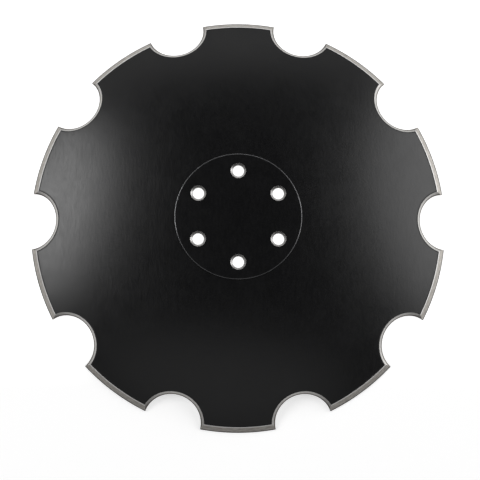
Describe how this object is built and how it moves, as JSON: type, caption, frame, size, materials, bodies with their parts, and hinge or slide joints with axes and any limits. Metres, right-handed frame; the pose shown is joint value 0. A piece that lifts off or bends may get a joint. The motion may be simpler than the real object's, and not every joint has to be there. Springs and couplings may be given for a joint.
{
  "type": "harrow disc blade",
  "caption": "Dished disc blade with half-round notches, a ground edge and a flat bolt-on centre.",
  "frame": {"origin": "centre of the rim, on the plane that the rim rests on", "axes": "+Z along the disc's axis, towards the convex side and the hub; a notch is centred on +X and on -X, and a lobe on +Y and on -Y"},
  "size_m": [0.5054, 0.51, 0.0458],
  "materials": {
    "black_coat": "satin black coating, with the edge and notches ground to bare steel"
  },
  "bodies": {
    "root": {"disc_blade": "black_coat"}
  },
  "joints": []
}
